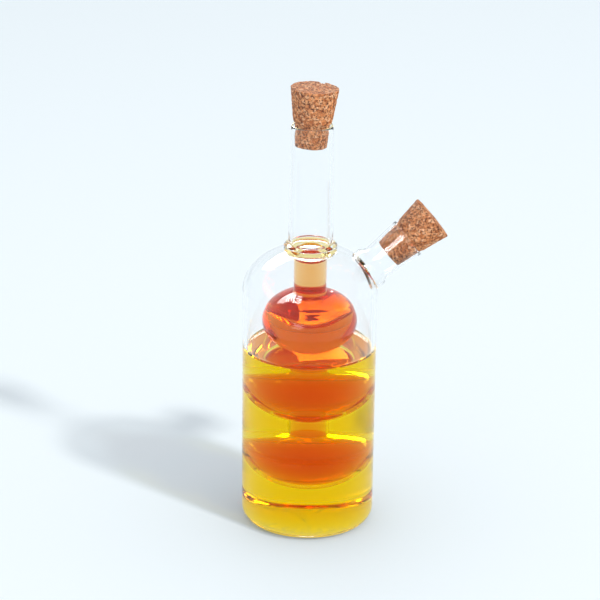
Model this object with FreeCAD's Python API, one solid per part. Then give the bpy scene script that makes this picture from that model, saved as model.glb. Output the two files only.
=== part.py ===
import FreeCAD, Part
import math
import os

# Double-chamber oil and vinegar bottle with two corks.
# Frame: millimetres, +Z up, origin at the centre of the base, spout toward +X.

# ---- driving dimensions (mm, degrees) ------------------------------------
body_diameter = 72.0            # outer diameter of the straight body
wall = 2.4                      # glass of the body and dome
floor = 3.0                     # glass of the base
base_corner_radius = 7.0        # rounding between base and wall, outside
body_height = 132.5             # height where the dome starts
dome_height = 24.5              # rise of the dome over the body, taken to the axis

neck_length = 66.5              # middle of the neck weld to the rim
neck_rim_diameter = 22.2        # neck tube at its rim, outside
neck_root_diameter = 23.9       # neck tube at the weld, outside
neck_wall = 1.55                # glass of the neck tube
neck_joint_lift = 0.5           # middle of the weld over the top of the dome
neck_joint_diameter = 28.4      # swollen weld between dome and neck tube
neck_joint_rise = 3.2           # middle of the weld to its top
neck_joint_sink = 8.7           # middle of the weld to its underside
neck_joint_cup_depth = 4.0      # depth of the rounded bottom of the neck bore

vessel_wall = 1.5               # glass of the inner vessel
vessel_neck_diameter = 17.3     # narrow necks above and between the bulbs, outside
vessel_neck_fillet = 2.4        # rounding between a neck and a bulb, outside
top_bulb_drop = 42.0            # middle of the weld down to the middle of the top bulb
bottom_bulb_rise = 35.2         # middle of the bottom bulb over the inside of the base
top_bulb_diameter = 51.0        # bulbs, outside
middle_bulb_diameter = 54.0
bottom_bulb_diameter = 54.0
top_bulb_share = 0.895          # heights of the bulbs, as shares of their spacing
middle_bulb_share = 0.84
bottom_bulb_share = 0.89

oil_dip = 2.0                   # oil surface over the underside of the top bulb
vinegar_drop = 7.0              # vinegar surface under the middle of the weld

spout_angle = 38.0              # axis of the spout over the horizontal
spout_seat = 0.893              # where that axis leaves the dome, as a share of its radius
spout_reach = 26.0              # dome to rim, along the axis
spout_waist_rise = 4.9          # dome to the waist, along the axis
spout_collar_rise = 0.5         # dome to the top of the collar
spout_collar_sink = 7.5         # dome to the end of the collar inside it
spout_rim_diameter = 22.4       # spout at its rim, outside
spout_waist_diameter = 18.6     # spout at its narrowest, outside
spout_collar_diameter = 22.8    # collar drawn out of the dome, outside
spout_wall = 1.0                # glass of the spout

rim_rounding = 0.4              # fire-polished rounding, as a share of the wall

cork_gap = 0.1                  # clearance between a cork and the rim it sits in
cork_edge = 0.6                 # worn edge of a cork
cork_swell_lift = 0.9           # rim to where the squeezed cork starts to swell
cork_swell_height = 1.2         # height in which it swells to its own taper
neck_cork_top_diameter = 26.1
neck_cork_foot_diameter = 17.4
neck_cork_length = 32.1
neck_cork_depth = 11.7          # foot under the rim
neck_cork_lean = 3.2            # lean towards the spout
spout_cork_top_diameter = 26.2
spout_cork_foot_diameter = 16.8
spout_cork_length = 32.0
spout_cork_depth = 14.1         # foot under the rim
spout_cork_lean = -1.6          # lean, here upwards

over = 1.0                      # overlap of a cutting tool past the face it opens
tolerance = 0.05                # within which two lengths count as the same

# ---- heights that follow -------------------------------------------------
neck_joint_z = body_height + dome_height + neck_joint_lift
neck_rim_z = neck_joint_z + neck_length
top_bulb_z = neck_joint_z - top_bulb_drop
bottom_bulb_z = floor + bottom_bulb_rise
middle_bulb_z = (top_bulb_z + bottom_bulb_z) / 2
bulb_spacing = top_bulb_z - middle_bulb_z
oil_level = top_bulb_z - top_bulb_share * bulb_spacing / 2 + oil_dip
vinegar_level = neck_joint_z - vinegar_drop
spout_seat_x = spout_seat * body_diameter / 2
spout_seat_z = body_height + dome_height * math.sqrt(1 - spout_seat ** 2)
# --------------------------------------------------------------------------

UP = FreeCAD.Vector(0, 0, 1)
SIDE = FreeCAD.Vector(0, 1, 0)
ORIGIN = FreeCAD.Vector(0, 0, 0)
QUARTER = math.pi / 2
FULL_TURN = 360
DIAGONAL = math.sqrt(0.5)


def point(radius, height):
    """A point of a profile in the XZ plane."""
    return FreeCAD.Vector(radius, 0, height)


def corner(centre, radius, start, middle, end):
    """A circular arc round centre through three directions."""
    ends = [centre + direction * radius for direction in (start, middle, end)]
    return Part.Arc(*ends).toShape()


def ellipse_arc(centre_z, half_width, half_height, start, end):
    """The arc of an upright ellipse on the axis between two angles."""
    centre = point(0, centre_z)
    ellipse = Part.Ellipse(point(half_width, centre_z), point(0, centre_z + half_height), centre)
    return Part.ArcOfEllipse(ellipse, start, end).toShape()


def lathe(edges):
    """The solid swept by a closed profile round the Z axis."""
    return Part.Face(Part.Wire(edges)).revolve(ORIGIN, UP, FULL_TURN)


def lathe_points(points):
    """The solid swept by a closed polygon of profile points."""
    closed = points + points[:1]
    return lathe([Part.makeLine(a, b) for a, b in zip(closed[:-1], closed[1:])])


def spheroid(centre_z, width, height):
    """An upright ellipsoid of revolution."""
    stretch = FreeCAD.Matrix()
    stretch.scale(1, 1, height / width)
    shape = Part.makeSphere(width / 2).transformGeometry(stretch)
    shape.translate(UP * centre_z)
    return shape


def body_solid(inset, bottom):
    """The closed body with its dome, drawn in by inset and standing on bottom."""
    radius = body_diameter / 2 - inset
    bend = base_corner_radius - inset
    bend_centre = point(radius - bend, bottom + bend)
    across, down = point(1, 0), point(0, -1)
    slant = (across + down) * DIAGONAL
    rise = dome_height - inset
    crown = vessel_neck_diameter / 2
    turn = math.acos(crown / radius)
    top = body_height + rise * math.sin(turn)
    return lathe([
        Part.makeLine(point(0, bottom), point(radius - bend, bottom)),
        corner(bend_centre, bend, down, slant, across),
        Part.makeLine(point(radius, bottom + bend), point(radius, body_height)),
        ellipse_arc(body_height, radius, rise, 0, turn),
        Part.makeLine(point(crown, top), point(0, top)),
        Part.makeLine(point(0, top), point(0, bottom)),
    ])


def tube(stations, rounding):
    """A solid tube through (radius, height) stations with its top edge rounded."""
    radius, top = stations[-1]
    bend_centre = point(radius - rounding, top - rounding)
    across, up = point(1, 0), point(0, 1)
    slant = (across + up) * DIAGONAL
    wall_points = [point(*station) for station in stations[:-1]] + [bend_centre + across * rounding]
    bottom = stations[0][1]
    edges = [Part.makeLine(point(0, bottom), wall_points[0])]
    edges += [Part.makeLine(a, b) for a, b in zip(wall_points[:-1], wall_points[1:])]
    edges.append(corner(bend_centre, rounding, across, slant, up))
    edges.append(Part.makeLine(bend_centre + up * rounding, point(0, top)))
    edges.append(Part.makeLine(point(0, top), point(0, bottom)))
    return lathe(edges)


def bore(stations, rounding):
    """The hole of a tube, opening out round the rim it ends at."""
    radius, top = stations[-1]
    bend_centre = point(radius + rounding, top - rounding)
    across, up = point(1, 0), point(0, 1)
    slant = (up - across) * DIAGONAL
    wall_points = [point(*station) for station in stations[:-1]] + [bend_centre - across * rounding]
    bottom = stations[0][1]
    rim = bend_centre + up * rounding
    edges = [Part.makeLine(point(0, bottom), wall_points[0])]
    edges += [Part.makeLine(a, b) for a, b in zip(wall_points[:-1], wall_points[1:])]
    edges.append(corner(bend_centre, rounding, across * -1, slant, up))
    edges.append(Part.makeLine(rim, rim + up * over))
    edges.append(Part.makeLine(rim + up * over, point(0, top + over)))
    edges.append(Part.makeLine(point(0, top + over), point(0, bottom)))
    return lathe(edges)


def vessel_solid(inset):
    """The three bulbs with their necks up to the neck weld, drawn in by inset."""
    neck_radius = vessel_neck_diameter / 2 - inset
    sizes = [
        (top_bulb_z, top_bulb_diameter, top_bulb_share),
        (middle_bulb_z, middle_bulb_diameter, middle_bulb_share),
        (bottom_bulb_z, bottom_bulb_diameter, bottom_bulb_share),
    ]
    bulbs = [spheroid(height, diameter - 2 * inset, share * bulb_spacing - 2 * inset)
             for height, diameter, share in sizes]
    neck = Part.makeCylinder(neck_radius, neck_joint_z - bottom_bulb_z, point(0, bottom_bulb_z))
    vessel = neck.multiFuse(bulbs).removeSplitter()
    joints = [edge for edge in vessel.Edges if is_neck_circle(edge, neck_radius)]
    return vessel.makeFillet(vessel_neck_fillet + inset, joints)


def is_neck_circle(edge, neck_radius):
    """Whether an edge is the level circle where a neck meets a bulb."""
    box = edge.BoundBox
    level = box.ZLength < tolerance
    neck_wide = abs(edge.Length - 2 * math.pi * neck_radius) < tolerance
    return level and neck_wide and box.ZMax < neck_joint_z - over


def neck_radii():
    """Outer radius of the neck tube at the weld and at the rim."""
    return neck_root_diameter / 2, neck_rim_diameter / 2


def neck_tube():
    root, rim = neck_radii()
    return tube([(root, neck_joint_z), (rim, neck_rim_z)], neck_wall * rim_rounding)


def neck_bore():
    """The bore of the neck tube with the rounded cup it ends in."""
    root, rim = neck_radii()
    hole = bore([(root - neck_wall, neck_joint_z), (rim - neck_wall, neck_rim_z)],
                neck_wall * rim_rounding)
    cup = spheroid(neck_joint_z, 2 * (root - neck_wall), 2 * neck_joint_cup_depth)
    return hole.fuse(cup)


def spout_stations(inset):
    """Radius and height stations of the spout along its own axis, dome at zero."""
    collar = spout_collar_diameter / 2 - inset
    return [
        (collar, -spout_collar_sink),
        (collar, spout_collar_rise),
        (spout_waist_diameter / 2 - inset, spout_waist_rise),
        (spout_rim_diameter / 2 - inset, spout_reach),
    ]


def on_spout(shape):
    """Bring a shape from the spout's own axis to its place on the dome."""
    placed = shape.copy()
    placed.rotate(ORIGIN, SIDE, math.degrees(QUARTER) - spout_angle)
    placed.translate(point(spout_seat_x, spout_seat_z))
    return placed


def neck_weld():
    """The swollen weld between the dome and the neck tube, low above and deep below."""
    cap = spheroid(neck_joint_z, neck_joint_diameter, 2 * neck_joint_rise)
    bowl = spheroid(neck_joint_z, neck_joint_diameter, 2 * neck_joint_sink)
    return cap.fuse(below(bowl, neck_joint_z)).removeSplitter()


def oil_chamber():
    """The space between the body and the inner vessel."""
    return body_solid(wall, floor).cut(vessel_solid(0).fuse(neck_weld()))


def vinegar_chamber():
    """The space inside the inner vessel and the neck tube."""
    return vessel_solid(vessel_wall).fuse(neck_bore())


def glass():
    rounding = spout_wall * rim_rounding
    spout = on_spout(tube(spout_stations(0), rounding))
    spout_bore = on_spout(bore(spout_stations(spout_wall), rounding))
    outside = body_solid(0, 0).multiFuse([neck_weld(), neck_tube(), spout])
    return outside.cut(oil_chamber()).cut(vinegar_chamber()).cut(spout_bore).removeSplitter()


def below(shape, level):
    """The part of a shape under a level."""
    size = 2 * body_diameter
    box = Part.makeBox(size, size, level, FreeCAD.Vector(-body_diameter, -body_diameter, 0))
    return shape.common(box)


def cork(top_diameter, foot_diameter, length, depth, bore_radius):
    """A tapered cork on the Z axis, squeezed where it sits in a rim at height zero."""
    top, foot = top_diameter / 2, foot_diameter / 2
    own_slope = (top - foot) / length
    squeezed = bore_radius - cork_gap
    squeezed_slope = (squeezed - foot) / depth
    swollen_z = cork_swell_lift + cork_swell_height
    top_z = length - depth
    return lathe_points([
        point(0, -depth),
        point(foot - cork_edge, -depth),
        point(foot + squeezed_slope * cork_edge, cork_edge - depth),
        point(squeezed, 0),
        point(squeezed, cork_swell_lift),
        point(foot + own_slope * (swollen_z + depth), swollen_z),
        point(top - own_slope * cork_edge, top_z - cork_edge),
        point(top - cork_edge, top_z),
        point(0, top_z),
    ])


def neck_cork():
    seated = cork(neck_cork_top_diameter, neck_cork_foot_diameter, neck_cork_length,
                  neck_cork_depth, neck_rim_diameter / 2 - neck_wall)
    seated.rotate(ORIGIN, SIDE, neck_cork_lean)
    seated.translate(UP * neck_rim_z)
    return seated


def spout_cork():
    seated = cork(spout_cork_top_diameter, spout_cork_foot_diameter, spout_cork_length,
                  spout_cork_depth, spout_rim_diameter / 2 - spout_wall)
    seated.rotate(ORIGIN, SIDE, spout_cork_lean)
    seated.translate(UP * spout_reach)
    return on_spout(seated)


def main():
    os.makedirs("parts", exist_ok=True)
    nodes = {
        "glass": glass(),
        "oil": below(oil_chamber(), oil_level),
        "vinegar": below(vinegar_chamber(), vinegar_level),
        "neck_cork": neck_cork(),
        "spout_cork": spout_cork(),
    }
    for name, shape in nodes.items():
        shape.Solids[0].exportStep("parts/" + name + ".step")


main()
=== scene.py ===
import logging
import math
from dataclasses import dataclass, field
from enum import Enum

import bpy
from mathutils import Matrix, Vector


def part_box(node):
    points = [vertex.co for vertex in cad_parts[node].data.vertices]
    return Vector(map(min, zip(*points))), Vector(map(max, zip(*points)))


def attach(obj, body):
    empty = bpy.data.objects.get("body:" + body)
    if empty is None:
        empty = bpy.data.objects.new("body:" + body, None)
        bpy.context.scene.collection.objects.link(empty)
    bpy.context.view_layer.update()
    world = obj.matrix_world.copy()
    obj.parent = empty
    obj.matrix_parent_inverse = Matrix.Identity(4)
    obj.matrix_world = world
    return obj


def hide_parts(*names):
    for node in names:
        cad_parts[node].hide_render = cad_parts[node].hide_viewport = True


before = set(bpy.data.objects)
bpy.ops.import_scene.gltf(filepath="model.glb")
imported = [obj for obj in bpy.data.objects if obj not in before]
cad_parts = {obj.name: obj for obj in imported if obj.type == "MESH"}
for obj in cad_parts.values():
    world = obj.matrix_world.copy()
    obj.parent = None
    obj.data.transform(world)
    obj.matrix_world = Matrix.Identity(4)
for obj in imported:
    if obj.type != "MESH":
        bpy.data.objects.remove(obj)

LOG = logging.getLogger("oil_bottle")
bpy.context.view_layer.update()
MM = 0.001
JOINING = 0.001 * MM
FULL_TURN = 2 * math.pi
Profile = list[tuple[float, float]]
Colour = tuple[float, float, float]
Node = bpy.types.Node
Socket = bpy.types.NodeSocket


# ---- modelling -----------------------------------------------------------

def deselect() -> None:
    """Leave edit mode and select nothing."""
    if bpy.context.mode != "OBJECT":
        bpy.ops.object.mode_set(mode="OBJECT")
    bpy.ops.object.select_all(action="DESELECT")


def pick(piece: bpy.types.Object) -> None:
    """Make one piece the only selected and active one.

    Args:
        piece: The object to work on.
    """
    deselect()
    piece.select_set(True)
    bpy.context.view_layer.objects.active = piece


def arc(centre: tuple[float, float], half_width: float, half_height: float,
        start: float, end: float, steps: int) -> Profile:
    """Stations along an elliptical arc of a profile.

    Args:
        centre: Radius and height of the arc's centre.
        half_width: Half width along the radius.
        half_height: Half height along the axis.
        start: First angle in degrees, zero pointing outward and 90 up.
        end: Last angle in degrees.
        steps: Number of steps between them.

    Returns:
        The stations, both ends included.
    """
    stations = []
    for index in range(steps + 1):
        angle = math.radians(start + (end - start) * index / steps)
        stations.append((centre[0] + half_width * math.cos(angle),
                         centre[1] + half_height * math.sin(angle)))
    return stations


def thin_out(profile: Profile, stride: float, bend: float) -> Profile:
    """Keep stations where a dense profile is long or bends.

    Args:
        profile: Dense stations.
        stride: Longest step in millimetres.
        bend: Largest turn per step in radians.

    Returns:
        The kept stations, both ends included.
    """
    kept, load, heading = [profile[0]], 0.0, None
    for before, after in zip(profile[:-1], profile[1:]):
        across, up = after[0] - before[0], after[1] - before[1]
        turned = math.atan2(up, across)
        if heading is not None:
            swing = abs((turned - heading + math.pi) % FULL_TURN - math.pi)
            load += swing / bend
        load += math.hypot(across, up) / stride
        heading = turned
        if load >= 1:
            kept.append(after)
            load = 0.0
    if kept[-1] != profile[-1]:
        kept.append(profile[-1])
    return kept


def throw(name: str, profile: Profile, segments: int = 144) -> bpy.types.Object:
    """Draw a profile station by station and spin it round the Z axis.

    Args:
        name: Name of the new piece.
        profile: Radius and height stations in millimetres.
        segments: Steps of the full turn.

    Returns:
        The closed piece, with its faces pointing outward.
    """
    deselect()
    bpy.ops.mesh.primitive_plane_add(size=MM, location=(0, 0, 0))
    piece = bpy.context.object
    piece.name = piece.data.name = name
    bpy.ops.object.mode_set(mode="EDIT")
    bpy.ops.mesh.select_all(action="SELECT")
    bpy.ops.mesh.merge(type="CENTER")
    bpy.ops.transform.translate(value=(profile[0][0] * MM, 0, profile[0][1] * MM))
    for before, after in zip(profile[:-1], profile[1:]):
        step = ((after[0] - before[0]) * MM, 0, (after[1] - before[1]) * MM)
        bpy.ops.mesh.extrude_vertices_move(TRANSFORM_OT_translate={"value": step})
    bpy.ops.mesh.select_all(action="SELECT")
    bpy.ops.mesh.spin(steps=segments, angle=FULL_TURN, center=(0, 0, 0), axis=(0, 0, 1))
    bpy.ops.mesh.select_all(action="SELECT")
    bpy.ops.mesh.remove_doubles(threshold=JOINING)
    bpy.ops.mesh.normals_make_consistent(inside=False)
    bpy.ops.object.mode_set(mode="OBJECT")
    bpy.ops.object.shade_smooth()
    return piece


def settle(piece: bpy.types.Object, place: Matrix) -> None:
    """Put a piece in place and keep that place in its mesh.

    Args:
        piece: The object to place.
        place: Its turn and place.
    """
    pick(piece)
    piece.matrix_world = place
    bpy.ops.object.transform_apply(location=True, rotation=True, scale=True)


def combine(piece: bpy.types.Object, tool: bpy.types.Object, operation: str) -> None:
    """Join a closed tool to a piece, or cut it out, and drop the tool.

    Args:
        piece: The piece that stays.
        tool: The closed piece used on it.
        operation: UNION or DIFFERENCE.
    """
    pick(piece)
    cut = piece.modifiers.new(operation.lower(), "BOOLEAN")
    cut.operation = operation
    cut.object = tool
    cut.solver = "EXACT"
    bpy.ops.object.modifier_apply(modifier=cut.name)
    bpy.data.objects.remove(tool, do_unlink=True)


# ---- finishes ------------------------------------------------------------

@dataclass
class Graph:
    """A material's node tree, built node by node."""

    name: str
    material: bpy.types.Material = field(init=False)
    output: Node = field(init=False)

    def __post_init__(self) -> None:
        """Start an empty tree with its output."""
        self.material = bpy.data.materials.new(self.name)
        self.material.use_nodes = True
        self.material.node_tree.nodes.clear()
        self.output = self.add("ShaderNodeOutputMaterial")

    def add(self, kind: str, **settings: object) -> Node:
        """Add a node.

        Args:
            kind: Blender's name of the node type.
            settings: Properties of the node.

        Returns:
            The new node.
        """
        made = self.material.node_tree.nodes.new(kind)
        for key, value in settings.items():
            setattr(made, key, value)
        return made

    def link(self, source: Socket, target: Socket) -> None:
        """Join an output to an input."""
        self.material.node_tree.links.new(source, target)

    def feed(self, slot: Socket, value: Socket | float | tuple[float, ...]) -> None:
        """Set an input to a value, or join it to an output.

        Args:
            slot: The input.
            value: An output, a number or a colour with its alpha.
        """
        if isinstance(value, bpy.types.NodeSocket):
            self.link(value, slot)
        else:
            slot.default_value = value

    def where(self) -> Socket:
        """The piece's own coordinates, in metres."""
        return self.add("ShaderNodeTexCoord").outputs["Object"]

    def height(self) -> Socket:
        """Height over the bottle's base, in metres.

        Returns:
            The height's socket.
        """
        place = self.add("ShaderNodeSeparateXYZ")
        self.link(self.where(), place.inputs[0])
        return place.outputs["Z"]

    def math(self, operation: str, first: Socket | float, second: Socket | float) -> Socket:
        """Combine two numbers.

        Args:
            operation: The math node's operation.
            first: A socket or a number.
            second: A socket or a number.

        Returns:
            The result's socket.
        """
        made = self.add("ShaderNodeMath", operation=operation)
        for slot, value in zip(made.inputs, (first, second)):
            self.feed(slot, value)
        return made.outputs[0]

    def blend(self, kind: str, factor: Socket | float, first: Socket,
              second: Socket | tuple[float, ...]) -> Socket:
        """Mix two colours.

        Args:
            kind: The mix node's blend type.
            factor: How much of the second colour is used.
            first: The first colour's socket.
            second: The second colour's socket, or a colour with its alpha.

        Returns:
            The mixed colour's socket.
        """
        made = self.add("ShaderNodeMix", data_type="RGBA", blend_type=kind)
        colour_a, colour_b, colour_result = made.inputs[6], made.inputs[7], made.outputs[2]
        self.feed(made.inputs["Factor"], factor)
        self.feed(colour_a, first)
        self.feed(colour_b, second)
        return colour_result

    def ramp(self, factor: Socket, stops: list[tuple[float, Colour]]) -> Socket:
        """Colour a number by a ramp of stops.

        Args:
            factor: The number.
            stops: Place and colour of each stop.

        Returns:
            The colour's socket.
        """
        made = self.add("ShaderNodeValToRGB")
        elements = made.color_ramp.elements
        while len(elements) < len(stops):
            elements.new(0.5)
        for element, (place, colour) in zip(elements, stops):
            element.position = place
            element.color = (*colour, 1)
        self.link(factor, made.inputs["Fac"])
        return made.outputs["Color"]

    def noise(self, scale: float, detail: float = 2.0) -> Node:
        """Add noise on the piece's own coordinates.

        Args:
            scale: Waves per metre.
            detail: Octaves.

        Returns:
            The noise node.
        """
        made = self.add("ShaderNodeTexNoise")
        made.inputs["Scale"].default_value = scale
        made.inputs["Detail"].default_value = detail
        self.link(self.where(), made.inputs["Vector"])
        return made

    def cells(self, scale: float, where: Socket, feature: str = "F1") -> Node:
        """Add a cell pattern.

        Args:
            scale: Cells per metre.
            where: The coordinates that it follows.
            feature: The Voronoi node's feature.

        Returns:
            The cell node.
        """
        made = self.add("ShaderNodeTexVoronoi", feature=feature)
        made.inputs["Scale"].default_value = scale
        self.link(where, made.inputs["Vector"])
        return made

    def emboss(self, body: Node, height: Socket, strength: float, distance: float) -> None:
        """Give a surface shader a fine relief.

        Args:
            body: The surface shader.
            height: The relief's height.
            strength: How strongly it shows.
            distance: Its full height in metres.
        """
        bump = self.add("ShaderNodeBump")
        bump.inputs["Strength"].default_value = strength
        bump.inputs["Distance"].default_value = distance
        self.link(height, bump.inputs["Height"])
        self.link(bump.outputs["Normal"], body.inputs["Normal"])


def linear_share(value: int) -> float:
    """Turn one display value from 0 to 255 into its linear share."""
    share = value / 255
    return share / 12.92 if share <= 0.04045 else ((share + 0.055) / 1.055) ** 2.4


def linear(red: int, green: int, blue: int) -> Colour:
    """Turn display values from 0 to 255 into linear colour."""
    return linear_share(red), linear_share(green), linear_share(blue)


class GlassSide(Enum):
    """What lies behind the glass, and so how strongly its surface bends light."""

    AIR = 0
    OIL = 1
    VINEGAR = 2
    HEADSPACE = 3
    # the weld's underside, painted with the vinegar's colour as seen through the thick weld
    PAINTED_VINEGAR = 4


@dataclass(frozen=True)
class ClearGlass:
    """Polished clear glass with the faint waves of blown work.

    The shades are what one surface lets through to the shadow: more above thin_above, where
    the glass stands empty. The mirrors scale its reflections, outside and in the head space.
    """

    index: float = 1.47
    oil_index: float = 1.4699
    vinegar_index: float = 1.34
    thick_shade: float = 0.68
    thin_shade: float = 0.92
    thin_above: float = 150.0
    mirror: float = 0.2
    inner_mirror: float = 0.35
    # painted refraction: gold that stands in for the vinegar seen through the weld's underside
    painted_vinegar_tint: Colour = linear(244, 204, 98)
    wave_scale: float = 55.0
    wave_height: float = 0.00001
    wave_strength: float = 0.35
    wave_tint: Colour = (0.985, 0.992, 0.996)

    def material(self, side: GlassSide) -> bpy.types.Material:
        """Make the finish for one side.

        Args:
            side: What the glass meets there.

        Returns:
            The material.
        """
        meets = {GlassSide.OIL: self.oil_index, GlassSide.VINEGAR: self.vinegar_index}
        graph = Graph("glass_to_" + side.name.lower())
        body = graph.add("ShaderNodeBsdfPrincipled")
        body.inputs["Transmission Weight"].default_value = 1.0
        body.inputs["Roughness"].default_value = 0.0
        body.inputs["IOR"].default_value = self.index / meets.get(side, 1.0)
        inside = side in (GlassSide.HEADSPACE, GlassSide.PAINTED_VINEGAR)
        mirror = self.inner_mirror if inside else self.mirror
        body.inputs["Specular Tint"].default_value = (mirror, mirror, mirror, 1)
        waves = graph.noise(self.wave_scale)
        # painted refraction: the weld's underside takes the vinegar's gold
        clear = self.painted_vinegar_tint if side is GlassSide.PAINTED_VINEGAR else (1.0, 1.0, 1.0)
        shaded = tuple(part * share for part, share in zip(clear, self.wave_tint))
        tint = graph.ramp(waves.outputs["Fac"], [(0.3, shaded), (0.7, clear)])
        graph.link(tint, body.inputs["Base Color"])
        graph.emboss(body, waves.outputs["Fac"], self.wave_strength, self.wave_height)
        height = graph.math("DIVIDE", graph.height(), 2 * self.thin_above * MM)
        thick, thin = (self.thick_shade,) * 3, (self.thin_shade,) * 3
        shade = graph.ramp(height, [(0.48, thick), (0.52, thin)])
        let_light_through(graph, body, shade)
        return graph.material


@dataclass(frozen=True)
class ClearLiquid:
    """A clear liquid whose colour deepens with its depth.

    Its free surface lies above the height surface and within the radius contact, both in
    millimetres. absorbed is what a metre of it takes from red, green and blue.
    """

    name: str
    index: float
    surface: float
    contact: float
    absorbed: Colour
    mirror: float = 0.3
    behind_glass: float = 1.0001
    cloud_scale: float = 90.0
    cloud_tint: Colour = (0.99, 0.985, 0.97)

    def material(self) -> bpy.types.Material:
        """Make the finish: it bends light at its free surface only.

        Returns:
            The material.
        """
        graph = Graph(self.name)
        body = graph.add("ShaderNodeBsdfPrincipled")
        body.inputs["Transmission Weight"].default_value = 1.0
        body.inputs["Roughness"].default_value = 0.0
        body.inputs["Specular Tint"].default_value = (self.mirror, self.mirror, self.mirror, 1)
        cloud = graph.noise(self.cloud_scale)
        tint = graph.ramp(cloud.outputs["Fac"], [(0.3, self.cloud_tint), (0.7, (1, 1, 1))])
        graph.link(tint, body.inputs["Base Color"])
        bend = graph.math("MULTIPLY", self.free(graph), self.index - self.behind_glass)
        graph.link(graph.math("ADD", bend, self.behind_glass), body.inputs["IOR"])
        depth = graph.add("ShaderNodeVolumeAbsorption")
        most = max(self.absorbed)
        depth.inputs["Density"].default_value = most
        depth.inputs["Color"].default_value = (*[1 - part / most for part in self.absorbed], 1)
        graph.link(depth.outputs["Volume"], graph.output.inputs["Volume"])
        let_light_through(graph, body)
        return graph.material

    def free(self, graph: Graph) -> Socket:
        """Tell the free surface from what lies against glass.

        Args:
            graph: The material's tree.

        Returns:
            The socket of a number, one on the free surface and zero elsewhere.
        """
        flat = graph.add("ShaderNodeVectorMath", operation="MULTIPLY")
        flat.inputs[1].default_value = (1.0, 1.0, 0.0)
        graph.link(graph.where(), flat.inputs[0])
        away = graph.add("ShaderNodeVectorMath", operation="LENGTH")
        graph.link(flat.outputs[0], away.inputs[0])
        above = graph.math("GREATER_THAN", graph.height(), self.surface * MM)
        within = graph.math("LESS_THAN", away.outputs["Value"], self.contact * MM)
        return graph.math("MULTIPLY", above, within)


def let_light_through(graph: Graph, body: Node, shade: Socket | None = None) -> None:
    """Let light that starts or ends on a matt surface pass straight through a clear finish.

    The shadow stays light, and no bright blotches fall on the floor and the corks.

    Args:
        graph: The material's tree.
        body: Its surface shader.
        shade: What each surface lets through, or nothing for all light.
    """
    ray = graph.add("ShaderNodeLightPath")
    clear = graph.add("ShaderNodeBsdfTransparent")
    if shade:
        graph.link(shade, clear.inputs["Color"])
    passing = graph.math("MAXIMUM", ray.outputs["Is Shadow Ray"], ray.outputs["Is Diffuse Ray"])
    either = graph.add("ShaderNodeMixShader")
    graph.link(passing, either.inputs["Fac"])
    graph.link(body.outputs["BSDF"], either.inputs[1])
    graph.link(clear.outputs["BSDF"], either.inputs[2])
    graph.link(either.outputs["Shader"], graph.output.inputs["Surface"])


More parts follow.
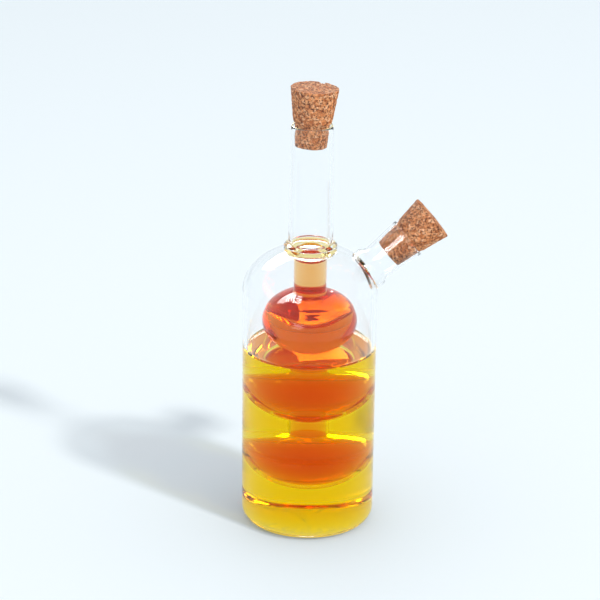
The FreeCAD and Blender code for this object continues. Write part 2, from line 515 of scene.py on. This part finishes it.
@dataclass(frozen=True)
class PressedCork:
    """Cork granules pressed together, with dark seams and pits."""

    grain: float = 590.0
    speck: float = 980.0
    fleck: float = 760.0
    fibre: float = 1500.0
    wobble: float = 700.0
    wobble_reach: float = 0.0016
    seam_width: float = 0.045
    seam_dark: float = 0.75
    pit_share: float = 0.34
    pit_size: float = 0.34
    shine: float = 0.25
    relief: float = 0.00025
    relief_strength: float = 0.7
    shades: tuple[Colour, ...] = (
        linear(172, 96, 50), linear(202, 124, 72), linear(214, 140, 88), linear(222, 154, 104),
        linear(232, 176, 134))
    gap_colour: Colour = linear(84, 46, 30)

    def material(self) -> bpy.types.Material:
        """Make the finish.

        Returns:
            The material.
        """
        graph = Graph("pressed_cork")
        body = graph.add("ShaderNodeBsdfPrincipled")
        body.inputs["Specular IOR Level"].default_value = self.shine
        fibre = graph.noise(self.fibre, 4.0).outputs["Fac"]
        where = self.squashed(graph)
        gaps = graph.math("MAXIMUM", self.pits(graph), self.seams(graph, where, fibre))
        colour = graph.blend("MIX", gaps, self.granules(graph, where), (*self.gap_colour, 1))
        graph.link(colour, body.inputs["Base Color"])
        rough = graph.ramp(fibre, [(0.3, (0.95,) * 3), (0.7, (0.78,) * 3)])
        graph.link(rough, body.inputs["Roughness"])
        height = graph.math("SUBTRACT", fibre, graph.math("MULTIPLY", gaps, 0.9))
        graph.emboss(body, height, self.relief_strength, self.relief)
        graph.link(body.outputs["BSDF"], graph.output.inputs["Surface"])
        return graph.material

    def squashed(self, graph: Graph) -> Socket:
        """Push the coordinates about, so that the granules aren't straight-edged.

        Args:
            graph: The material's tree.

        Returns:
            The pushed coordinates.
        """
        shift = graph.add("ShaderNodeVectorMath", operation="MULTIPLY_ADD")
        shift.inputs[1].default_value = (self.wobble_reach,) * 3
        graph.link(graph.noise(self.wobble, 3.0).outputs["Color"], shift.inputs[0])
        graph.link(graph.where(), shift.inputs[2])
        return shift.outputs[0]

    def granules(self, graph: Graph, where: Socket) -> Socket:
        """Colour each granule by itself, with darker and paler flecks.

        Args:
            graph: The material's tree.
            where: The pushed coordinates.

        Returns:
            The colour's socket.
        """
        split = graph.add("ShaderNodeSeparateColor")
        graph.link(graph.cells(self.grain, where).outputs["Color"], split.inputs["Color"])
        last = len(self.shades) - 1
        plain = graph.ramp(split.outputs[0],
                           [(index / last, shade) for index, shade in enumerate(self.shades)])
        mottle = graph.ramp(graph.noise(self.fleck, 3.0).outputs["Fac"], [
            (0.37, (0.3, 0.2, 0.15)), (0.45, (0.95, 0.93, 0.9)), (0.56, (1.0, 1.0, 1.0)),
            (0.66, (1.3, 1.34, 1.38))])
        return graph.blend("MULTIPLY", 1.0, plain, mottle)

    def pits(self, graph: Graph) -> Socket:
        """Scatter small dark pits.

        Args:
            graph: The material's tree.

        Returns:
            The socket of a number, one in a pit and zero elsewhere.
        """
        specks = graph.cells(self.speck, graph.where())
        split = graph.add("ShaderNodeSeparateColor")
        graph.link(specks.outputs["Color"], split.inputs["Color"])
        few = graph.math("LESS_THAN", split.outputs[1], self.pit_share)
        near = graph.math("LESS_THAN", specks.outputs["Distance"], self.pit_size)
        return graph.math("MULTIPLY", few, near)

    def seams(self, graph: Graph, where: Socket, fibre: Socket) -> Socket:
        """Darken the broken seams between granules.

        Args:
            graph: The material's tree.
            where: The pushed coordinates.
            fibre: Fine noise that breaks the seams.

        Returns:
            The socket of a number, largest in a seam and zero elsewhere.
        """
        edges = graph.cells(self.grain, where, "DISTANCE_TO_EDGE")
        narrow = graph.math("LESS_THAN", edges.outputs["Distance"], self.seam_width)
        broken = graph.math("MULTIPLY", narrow, graph.math("GREATER_THAN", fibre, 0.47))
        return graph.math("MULTIPLY", broken, self.seam_dark)


# ---- the bottle ----------------------------------------------------------

@dataclass
class Bulb:
    """One swelling of the inner vessel: its middle and its outer half sizes."""

    height: float
    half_width: float
    half_height: float

    def radius(self, height: float, inset: float) -> float:
        """Radius at a height.

        Args:
            height: The height.
            inset: How far the surface is drawn in.

        Returns:
            The radius, or zero above and below the bulb.
        """
        share = abs(height - self.height) / (self.half_height - inset)
        if share >= 1:
            return 0.0
        return (self.half_width - inset) * math.sqrt(1 - share * share)


@dataclass
class Vessel:
    """The inner vessel: bulbs on one narrow neck."""

    bulbs: tuple[Bulb, ...] = (
        Bulb(115.5, 25.5, 17.3), Bulb(76.85, 27.0, 16.25), Bulb(38.2, 27.0, 17.2))
    neck_radius: float = 8.65
    wall: float = 1.5
    blend: float = 2.2
    levels: int = 500
    bulb_levels: int = 120
    stride: float = 2.4
    bend: float = 0.13

    def profile(self, inset: float, top: float) -> Profile:
        """Stations from a height down to the lowest point.

        Args:
            inset: How far the surface is drawn in.
            top: Height of the first station.

        Returns:
            The stations, ending on the axis.
        """
        lowest = self.bulbs[-1].height - self.bulbs[-1].half_height + inset
        heights = {top, lowest}
        for index in range(1, self.levels):
            heights.add(top + (lowest - top) * index / self.levels)
        for bulb in self.bulbs:
            reach = bulb.half_height - inset
            for index in range(1, self.bulb_levels):
                heights.add(bulb.height + reach * math.cos(math.pi * index / self.bulb_levels))
        dense = []
        for height in sorted((h for h in heights if lowest < h <= top), reverse=True):
            widest = max(bulb.radius(height, inset) for bulb in self.bulbs)
            neck = self.neck_radius - inset if height > self.bulbs[-1].height else 0.0
            near = max(self.blend - abs(widest - neck), 0) / self.blend
            rounding = near * near * self.blend / 4 if neck else 0.0
            dense.append((max(widest, neck) + rounding, height))
        return thin_out(dense + [(0.0, lowest)], self.stride, self.bend)


@dataclass
class Body:
    """The round body with its dome, the neck weld and the neck tube.

    The angles of the weld's arcs are in degrees, zero pointing outward and 90 up.
    """

    radius: float = 36.0
    wall: float = 2.4
    floor: float = 3.0
    base_bend: float = 7.0
    shoulder: float = 132.5
    dome: float = 24.5
    weld_height: float = 157.5
    weld_half_width: float = 14.2
    weld_rise: float = 3.2
    weld_sink: float = 8.7
    cup_depth: float = 1.2
    root_radius: float = 11.95
    rim_radius: float = 11.1
    rim_height: float = 224.0
    neck_wall: float = 1.55
    dome_under_weld: float = 0.985
    chamber_under_weld: float = 0.93
    bead_angles: tuple[float, float] = (0, 31)
    underside_angles: tuple[float, float] = (-36, -51)

    def shell(self, inset: float, bottom: float, crown: float) -> Profile:
        """Stations of base, wall and dome, drawn in by inset.

        Args:
            inset: How far the surface is drawn in.
            bottom: Height of its lowest face.
            crown: Radius at which the dome ends.

        Returns:
            The stations from the axis outward and up.
        """
        radius, bend = self.radius - inset, self.base_bend - inset
        flat = radius - bend
        stations = [(0.0, bottom), (flat * 0.35, bottom), (flat * 0.7, bottom)]
        stations += arc((flat, bottom + bend), bend, bend, -90, 0, 14)
        stations += [(radius, height) for height in (20.0, 45.0, 72.0, 100.0, 118.0)]
        turn = math.degrees(math.acos(crown / radius))
        stations += arc((0.0, self.shoulder), radius, self.dome - inset, 0, turn, 44)
        return stations

    def weld(self, start: float, end: float, steps: int) -> Profile:
        """Stations on the outside of the weld between two angles."""
        reach = self.weld_rise if end > start else self.weld_sink
        return arc((0.0, self.weld_height), self.weld_half_width, reach, start, end, steps)

    def tube(self) -> Profile:
        """Stations up the neck tube, over its polished rim and down its bore.

        Returns:
            The stations.
        """
        outer = [(self.root_radius + (self.rim_radius - self.root_radius) * share,
                  self.weld_height + (self.rim_height - self.weld_height) * share)
                 for share in (0.045, 0.12, 0.3, 0.5, 0.7, 0.85, 0.955)]
        half = self.neck_wall / 2
        over = arc((self.rim_radius - half, self.rim_height - half * 0.9), half, half * 0.9,
                   0, 180, 12)
        inner = [(radius - self.neck_wall, height) for radius, height in reversed(outer)]
        return outer + over + inner

    def cup(self, end_radius: float) -> Profile:
        """Stations of the rounded end of the bore.

        Args:
            end_radius: Radius of the hole in the middle.

        Returns:
            The stations from the bore's wall inward.
        """
        half_width = self.root_radius - self.neck_wall
        turn = math.degrees(math.acos(end_radius / half_width))
        return arc((0.0, self.weld_height), half_width, self.cup_depth, 0, -turn, 12)


@dataclass
class Spout:
    """The side spout, drawn out of the dome.

    Its rises count along its own axis, from the dome.
    """

    seat: tuple[float, float] = (32.15, 143.53)
    angle: float = 38.0
    sink: float = 7.5
    reach: float = 26.0
    collar_radius: float = 11.4
    waist_radius: float = 9.3
    rim_radius: float = 11.2
    waist_rise: float = 4.9
    wall: float = 1.0
    cut_past: float = 1.0
    cut_past_rim: float = 1.5

    def place(self) -> Matrix:
        """Turn and place of the spout's own axis."""
        turn = Matrix.Rotation(math.radians(90 - self.angle), 4, "Y")
        return Matrix.Translation((self.seat[0] * MM, 0, self.seat[1] * MM)) @ turn

    def radius(self, rise: float) -> float:
        """Outer radius at a rise.

        Args:
            rise: The rise over the dome.

        Returns:
            The radius.
        """
        if rise <= 0:
            return self.collar_radius
        if rise < self.waist_rise:
            share = (1 - math.cos(math.pi * rise / self.waist_rise)) / 2
            return self.collar_radius + (self.waist_radius - self.collar_radius) * share
        share = (rise - self.waist_rise) / (self.reach - self.waist_rise)
        return self.waist_radius + (self.rim_radius - self.waist_radius) * share

    def flare(self, inset: float) -> Profile:
        """Stations from the dome to just under the rim.

        Args:
            inset: How far the surface is drawn in.

        Returns:
            The stations.
        """
        rises = [self.waist_rise * index / 12 for index in range(13)]
        rises += [self.waist_rise + (self.reach - self.waist_rise - self.wall / 2) * index / 9
                  for index in range(1, 10)]
        return [(self.radius(rise) - inset, rise) for rise in rises]

    def outside(self) -> bpy.types.Object:
        """Make the solid outside of the spout.

        Returns:
            The closed piece, upright on its own axis.
        """
        half = self.wall / 2
        profile = [(0.0, -self.sink), (self.collar_radius * 0.5, -self.sink),
                   (self.collar_radius, -self.sink), (self.collar_radius, -self.sink / 2)]
        profile += self.flare(0.0)
        profile += arc((self.radius(self.reach) - half, self.reach - half), half, half, 0, 90, 6)[1:]
        profile.append((0.0, self.reach))
        return throw("spout_outside", profile, 112)

    def bore(self) -> bpy.types.Object:
        """Make the solid of the spout's hole.

        Returns:
            The closed piece, upright on its own axis and longer than the spout.
        """
        half = self.wall / 2
        deep = self.sink + self.cut_past
        inner = self.collar_radius - self.wall
        profile = [(0.0, -deep), (inner * 0.5, -deep), (inner, -deep), (inner, -deep / 2)]
        profile += self.flare(self.wall)
        edge = self.radius(self.reach) - half
        profile += arc((edge, self.reach - half), half, half, 180, 90, 6)[1:]
        past = self.reach + self.cut_past_rim
        profile += [(edge, past), (0.0, past)]
        return throw("spout_bore", profile, 112)


@dataclass
class Glass:
    """All the glass of the bottle, one piece."""

    body: Body
    vessel: Vessel
    spout: Spout
    oil_level: float
    vinegar_level: float
    hole_edge: float = 1.6
    hole_depth: float = 0.7
    root_depth: float = 0.9
    crease: float = 38.0
    finish: ClearGlass = ClearGlass()

    def build(self) -> bpy.types.Object:
        """Make and dress the glass.

        Returns:
            The finished piece.
        """
        glass = throw("bottle_glass", self.outer_profile())
        chamber = throw("oil_chamber", self.chamber_profile())
        outside, bore = self.spout.outside(), self.spout.bore()
        materials = [self.finish.material(side) for side in GlassSide]
        for piece in (glass, chamber, outside, bore):
            for material in materials:
                piece.data.materials.append(material)
        self.wet(glass, self.vinegar_level, GlassSide.VINEGAR, outside=False)
        self.wet(chamber, self.body.rim_height, GlassSide.HEADSPACE, outside=True)
        self.wet(chamber, self.oil_level, GlassSide.OIL, outside=True)
        for piece in (outside, bore):
            settle(piece, self.spout.place())
        combine(glass, outside, "UNION")
        combine(chamber, bore, "UNION")
        combine(glass, chamber, "DIFFERENCE")
        # painted refraction: colour the weld's underside with the vinegar seen through it
        self.paint_vinegar_image(glass)
        pick(glass)
        bpy.ops.object.shade_smooth_by_angle(angle=math.radians(self.crease))
        return glass

    def outer_profile(self) -> Profile:
        """Stations of the outside, the rim, the bore and the inside of the vessel.

        Returns:
            The stations, from the axis back to the axis.
        """
        body, vessel = self.body, self.vessel
        dome = body.shell(0.0, 0.0, body.weld_half_width * body.dome_under_weld)
        bead = body.weld(*body.bead_angles, 8)
        cup = body.cup(vessel.neck_radius - vessel.wall - self.hole_edge)
        inner = vessel.profile(vessel.wall, cup[-1][1] - self.hole_depth)
        return dome + bead + body.tube() + cup + inner

    def chamber_profile(self) -> Profile:
        """Stations of the body's inside, the weld's underside and the vessel's outside.

        Returns:
            The stations, from the axis back to the axis.
        """
        body, vessel = self.body, self.vessel
        shell = body.shell(body.wall, body.floor, body.weld_half_width * body.chamber_under_weld)
        underside = body.weld(*body.underside_angles, 6)
        outer = vessel.profile(0.0, underside[-1][1] - self.root_depth)
        return shell + underside + outer

    def paint_vinegar_image(self, glass: bpy.types.Object) -> None:
        """Paint the weld's faces in the head space with the colour of the vinegar inside,
        as a painted image of the vinegar seen through the thick weld glass.

        Args:
            glass: The whole glass.
        """
        for face in glass.data.polygons:
            away, height = face.center.xy.length / MM, face.center.z / MM
            faces_out = face.normal.xy.dot(face.center.xy) > 0
            if (faces_out and self.vinegar_level < height < self.body.weld_height
                    and self.vessel.neck_radius < away < self.body.weld_half_width + 0.05):
                face.material_index = GlassSide.PAINTED_VINEGAR.value

    def wet(self, piece: bpy.types.Object, level: float, side: GlassSide,
            outside: bool) -> None:
        """Mark the faces that a liquid wets.

        Args:
            piece: The piece to mark.
            level: Height of the liquid's surface.
            side: The liquid.
            outside: Whether faces that look away from the axis, or down, are wet too.
        """
        for face in piece.data.polygons:
            faces_in = face.normal.xy.dot(face.center.xy) < 0 or face.normal.z > 0.99
            if face.center.z / MM < level and (outside or faces_in):
                face.material_index = side.value


@dataclass
class Oil:
    """The oil round the inner vessel, reaching just into the glass."""

    body: Body
    vessel: Vessel
    level: float
    reach: float = 0.25
    climb: float = 1.0
    climb_width: float = 1.2
    index: float = 1.47
    absorbed: Colour = (1.6, 9.0, 130.0)

    def finish(self) -> ClearLiquid:
        """Golden oil, which bends light all over its surface."""
        return ClearLiquid("oil", self.index, self.level - 0.05, self.body.radius, self.absorbed)

    def build(self) -> bpy.types.Object:
        """Make and dress the oil.

        Returns:
            The finished piece.
        """
        body, reach = self.body, self.reach
        shell = body.shell(body.wall - reach, body.floor - reach, body.radius * 0.8)
        wall = body.radius - body.wall + reach
        shell = [station for station in shell if station[1] < self.level - 2]
        vessel = [station for station in self.vessel.profile(reach, self.level + 0.4)
                  if station[1] < self.level - 0.2]
        bulb = vessel[0][0]
        steps = (0.0, 0.15, 0.4, 0.8, 1.3, 2.0, 3.0, 4.5)
        surface = [(wall - step, self.rise(step)) for step in steps]
        surface += [(bulb + step, self.rise(step)) for step in reversed(steps)
                    if bulb + step < wall - steps[-1]]
        piece = throw("oil_fill", shell + surface + vessel)
        piece.data.materials.append(self.finish().material())
        return piece

    def rise(self, step: float) -> float:
        """Height of the surface at a step from the glass."""
        return self.level + self.climb * math.exp(-step / self.climb_width)


@dataclass
class Vinegar:
    """The vinegar inside the vessel, reaching just into the glass.

    Its surface is hollow: dips gives, at shares of its radius, how far it lies under its rim.
    """

    vessel: Vessel
    level: float
    reach: float = 0.25
    dips: tuple[tuple[float, float], ...] = (
        (0.0, 2.3), (0.3, 2.27), (0.5, 2.17), (0.7, 1.9), (0.85, 1.4), (0.95, 0.7), (1.0, 0.0))
    index: float = 1.34
    absorbed: Colour = (6.0, 50.0, 130.0)

    def finish(self) -> ClearLiquid:
        """Amber vinegar, which bends light over its hollow surface."""
        rim = self.vessel.neck_radius - self.vessel.wall + self.reach - 0.03
        return ClearLiquid("vinegar", self.index, self.level - 2.5, rim, self.absorbed)

    def build(self) -> bpy.types.Object:
        """Make and dress the vinegar.

        Returns:
            The finished piece.
        """
        inner = self.vessel.profile(self.vessel.wall - self.reach, self.level - 0.1)
        wall = inner[0][0]
        surface = [(wall * share, self.level - dip) for share, dip in self.dips]
        piece = throw("vinegar_fill", surface + inner)
        piece.data.materials.append(self.finish().material())
        return piece


@dataclass(frozen=True)
class Chip:
    """A granule missing from a cork: its direction in degrees, its place and its radius."""

    angle: float
    height: float
    away: float
    size: float


@dataclass
class Cork:
    """A tapered cork of pressed granules, squeezed by the mouth that it sits in."""

    name: str
    top_radius: float
    foot_radius: float
    length: float
    depth: float
    mouth_radius: float
    lean: float
    seed: int
    chip: Chip
    gap: float = 0.1
    swell_lift: float = 0.9
    swell_height: float = 1.2
    bulge: float = 0.0
    grain: float = 0.42
    relief: tuple[tuple[str, float, float], ...] = (
        ("VORONOI", 2.6, 0.22), ("STUCCI", 1.5, 0.3), ("CLOUDS", 0.8, 0.16))
    finish: PressedCork = PressedCork()

    def profile(self) -> Profile:
        """Stations of the cork with the mouth's rim at height zero.

        Returns:
            The stations from the foot up.
        """
        slope = (self.top_radius - self.foot_radius) / self.length
        squeezed = self.mouth_radius - self.gap
        swollen = self.swell_lift + self.swell_height
        top = self.length - self.depth
        return [
            (0.0, -self.depth), (self.foot_radius - 0.6, -self.depth),
            (self.foot_radius, 0.6 - self.depth), (squeezed, 0.0), (squeezed, self.swell_lift),
            (self.foot_radius + slope * (swollen + self.depth), swollen),
            (self.top_radius - slope * 0.5, top - self.bulge - 0.5),
            (self.top_radius - 0.5, top - self.bulge), (0.0, top)]

    def build(self, mouth: Matrix) -> bpy.types.Object:
        """Make, dress and seat the cork.

        Args:
            mouth: Turn and place of the rim that it sits in.

        Returns:
            The finished piece.
        """
        cork = throw(self.name, self.profile(), 96)
        combine(cork, self.lump(), "DIFFERENCE")
        self.granulate(cork)
        settle(cork, mouth @ Matrix.Rotation(math.radians(self.lean), 4, "Y"))
        cork.data.materials.append(self.finish.material())
        bpy.ops.object.shade_smooth()
        return cork

    def lump(self) -> bpy.types.Object:
        """Make the rough lump that the missing granule leaves.

        Returns:
            The lump.
        """
        turn = math.radians(self.chip.angle)
        size = self.chip.size * MM
        across, along = self.chip.away * math.cos(turn), self.chip.away * math.sin(turn)
        deselect()
        bpy.ops.mesh.primitive_ico_sphere_add(
            subdivisions=2, radius=size, location=(across * MM, along * MM, self.chip.height * MM))
        lump = bpy.context.object
        bpy.ops.object.mode_set(mode="EDIT")
        bpy.ops.transform.vertex_random(offset=size * 0.18, seed=self.seed + int(self.chip.angle))
        bpy.ops.object.mode_set(mode="OBJECT")
        bpy.ops.object.transform_apply(location=True)
        return lump

    def granulate(self, cork: bpy.types.Object) -> None:
        """Give the cork its granules and pits, all inward.

        Args:
            cork: The plain cork.
        """
        pick(cork)
        even = cork.modifiers.new("even_mesh", "REMESH")
        even.mode = "VOXEL"
        even.voxel_size = self.grain * MM
        bpy.ops.object.modifier_apply(modifier=even.name)
        for kind, size, depth in self.relief:
            texture = bpy.data.textures.new(self.name + "_" + kind.lower(), kind)
            texture.noise_scale = size * MM
            press = cork.modifiers.new("press", "DISPLACE")
            press.texture = texture
            press.texture_coords = "LOCAL"
            press.strength = depth * MM
            press.mid_level = 1.0
            bpy.ops.object.modifier_apply(modifier=press.name)


# ---- the studio ----------------------------------------------------------

@dataclass(frozen=True)
class SoftBox:
    """A lamp with an even face: where it hangs seen from the bottle, and how it shines.

    distance and size are in metres, power in watts. One that isn't for_matt lights only
    what mirrors or passes it.
    """

    name: str
    direction: tuple[float, float, float]
    distance: float
    size: tuple[float, float]
    power: float
    colour: Colour
    for_matt: bool = False


@dataclass
class Studio:
    """Floor, lamps, background and camera.

    turn is about the bottle's axis, and the eye is in millimetres. The floor seen through
    the glass is plain within plain_floor, and within foot_edge it carries a painted yellow
    glow in place of light gathered under the foot; radii in millimetres.
    """

    turn: float = -9.0
    eye: tuple[float, float, float] = (-5.3, -1248.2, 605.3)
    pitch: float = 21.0
    roll: float = 0.72
    lens: float = 150.0
    backdrop: Colour = linear(241, 250, 255)
    # painted light: yellow glow on the floor under the foot, standing in for light that the glass
    # gathers there
    painted_foot_glow: Colour = linear(247, 219, 55)
    foot_edge: tuple[float, float] = (33.0, 37.0)
    plain_floor: tuple[float, float] = (80.0, 110.0)
    sky: Colour = (0.945, 0.97, 1.0)
    sky_strength: float = 0.73
    boxes: tuple[SoftBox, ...] = (
        SoftBox("key_lamp", (0.54, -0.47, 0.695), 6.0, (0.45, 0.45), 168.0, (1.0, 0.98, 0.93),
                for_matt=True),
        SoftBox("back_window", (-0.254, 0.761, 0.598), 1.6, (1.3, 0.5), 40.0, (1.0, 1.0, 1.0)),
        SoftBox("front_box", (-0.435, -0.796, 0.408), 1.5, (0.65, 0.65), 95.0,
                (1.0, 0.97, 0.96)))

    def round_about(self) -> Matrix:
        """Turn of the whole studio about the bottle."""
        return Matrix.Rotation(math.radians(self.turn), 4, "Z")

    def build(self) -> None:
        """Set the studio up."""
        self.floor()
        self.background()
        for box in self.boxes:
            self.hang(box)
        self.camera()

    def floor(self) -> None:
        """Lay the pale floor that takes the shadow."""
        deselect()
        bpy.ops.mesh.primitive_plane_add(size=12, location=(0, 0, 0))
        floor = bpy.context.object
        floor.name = floor.data.name = "pale_floor"
        graph = Graph("pale_floor")
        paint = graph.add("ShaderNodeBsdfPrincipled")
        paint.inputs["Roughness"].default_value = 0.8
        paint.inputs["Specular IOR Level"].default_value = 0.1
        paint.inputs["Base Color"].default_value = (*self.backdrop, 1)
        plain = graph.add("ShaderNodeEmission")
        away = graph.add("ShaderNodeVectorMath", operation="LENGTH")
        graph.link(graph.add("ShaderNodeTexCoord").outputs["Object"], away.inputs[0])
        widest = 200.0
        share = graph.math("DIVIDE", away.outputs["Value"], widest * MM)
        inner, outer = (radius / widest for radius in self.plain_floor)
        near = graph.ramp(share, [(inner, (1, 1, 1)), (outer, (0, 0, 0))])
        # Seen through the glass, the floor near the foot shows the even backdrop. Under the foot it
        # shows a painted yellow glow in place of light gathered by the glass.
        inner, outer = (radius / widest for radius in self.foot_edge)
        glow = graph.ramp(share, [(inner, self.painted_foot_glow), (outer, self.backdrop)])
        graph.link(glow, plain.inputs["Color"])
        through = graph.add("ShaderNodeLightPath").outputs["Is Transmission Ray"]
        seen = graph.add("ShaderNodeMixShader")
        graph.link(graph.math("MULTIPLY", near, through), seen.inputs["Fac"])
        graph.link(paint.outputs["BSDF"], seen.inputs[1])
        graph.link(plain.outputs["Emission"], seen.inputs[2])
        graph.link(seen.outputs["Shader"], graph.output.inputs["Surface"])
        floor.data.materials.append(graph.material)

    def background(self) -> None:
        """Set an even pale sky, a little brighter where it is seen than where it lights."""
        world = bpy.data.worlds.new("studio")
        bpy.context.scene.world = world
        world.use_nodes = True
        nodes, links = world.node_tree.nodes, world.node_tree.links
        nodes.clear()
        output = nodes.new("ShaderNodeOutputWorld")
        light = nodes.new("ShaderNodeBackground")
        light.inputs["Color"].default_value = (*self.sky, 1)
        light.inputs["Strength"].default_value = self.sky_strength
        seen = nodes.new("ShaderNodeBackground")
        seen.inputs["Color"].default_value = (*self.backdrop, 1)
        ray = nodes.new("ShaderNodeLightPath")
        views = [ray.outputs[name] for name in
                 ("Is Camera Ray", "Is Glossy Ray", "Is Transmission Ray")]
        total = views[0]
        for other in views[1:]:
            either = nodes.new("ShaderNodeMath")
            either.operation = "MAXIMUM"
            links.new(total, either.inputs[0])
            links.new(other, either.inputs[1])
            total = either.outputs[0]
        mix = nodes.new("ShaderNodeMixShader")
        links.new(total, mix.inputs["Fac"])
        links.new(light.outputs[0], mix.inputs[1])
        links.new(seen.outputs[0], mix.inputs[2])
        links.new(mix.outputs[0], output.inputs["Surface"])

    def hang(self, box: SoftBox) -> None:
        """Hang one soft box that faces the bottle.

        Args:
            box: The soft box.
        """
        deselect()
        aim = Vector((0, 0, 0.11))
        where = aim + self.round_about() @ Vector(box.direction).normalized() * box.distance
        bpy.ops.object.light_add(type="AREA", location=where)
        lamp = bpy.context.object
        lamp.name = lamp.data.name = box.name
        lamp.data.shape = "RECTANGLE"
        lamp.data.size, lamp.data.size_y = box.size
        lamp.data.energy = box.power
        lamp.data.color = box.colour
        lamp.rotation_euler = (aim - where).to_track_quat("-Z", "Y").to_euler()
        lamp.visible_diffuse = box.for_matt

    def camera(self) -> None:
        """Set the camera up."""
        data = bpy.data.cameras.new("camera")
        data.sensor_width = 36.0
        data.lens = self.lens
        data.clip_start, data.clip_end = 0.05, 30.0
        camera = bpy.data.objects.new("camera", data)
        bpy.context.collection.objects.link(camera)
        look = Matrix.Rotation(math.radians(90 - self.pitch), 4, "X")
        tip = Matrix.Rotation(math.radians(self.roll), 4, "Z")
        place = Matrix.Translation(Vector(self.eye) * MM)
        camera.matrix_world = self.round_about() @ place @ look @ tip
        bpy.context.scene.camera = camera


def light_paths() -> None:
    """Let light pass through all the layers of glass and liquid."""
    cycles = bpy.context.scene.cycles
    bounces = 40
    cycles.max_bounces = bounces
    cycles.transmission_bounces = bounces
    cycles.transparent_max_bounces = bounces
    cycles.glossy_bounces = bounces


def hand_over(piece: bpy.types.Object, node: str) -> None:
    """Let a piece stand for its node.

    Args:
        piece: The finished piece.
        node: The node it replaces.
    """
    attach(piece, "root")
    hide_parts(node)
    LOG.info("%s: %d faces", piece.name, len(piece.data.polygons))


def main() -> None:
    """Build the bottle, its contents, its corks and the studio."""
    logging.basicConfig(level=logging.INFO, format="%(name)s %(message)s")
    bpy.context.scene.view_settings.view_transform = "Standard"
    light_paths()
    body, vessel, spout = Body(), Vessel(), Spout()
    oil = Oil(body, vessel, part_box("oil")[1].z / MM)
    vinegar = Vinegar(vessel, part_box("vinegar")[1].z / MM)
    glass = Glass(body, vessel, spout, oil.level, vinegar.level)
    hand_over(glass.build(), "glass")
    hand_over(oil.build(), "oil")
    hand_over(vinegar.build(), "vinegar")
    neck_cork = Cork("neck_stopper", top_radius=13.05, foot_radius=8.7, length=32.1, depth=11.7,
                     mouth_radius=9.55, lean=3.2, seed=3, chip=Chip(62.0, 20.6, 11.6, 1.9))
    neck_mouth = Matrix.Translation((0, 0, body.rim_height * MM))
    hand_over(neck_cork.build(neck_mouth), "neck_cork")
    spout_cork = Cork("spout_stopper", top_radius=13.1, foot_radius=8.4, length=32.0, depth=14.1,
                      mouth_radius=10.2, lean=-1.6, seed=8, chip=Chip(200.0, 17.9, 12.4, 1.2),
                      bulge=0.8)
    spout_mouth = spout.place() @ Matrix.Translation((0, 0, spout.reach * MM))
    hand_over(spout_cork.build(spout_mouth), "spout_cork")
    Studio().build()


if __name__ == "__main__":
    main()
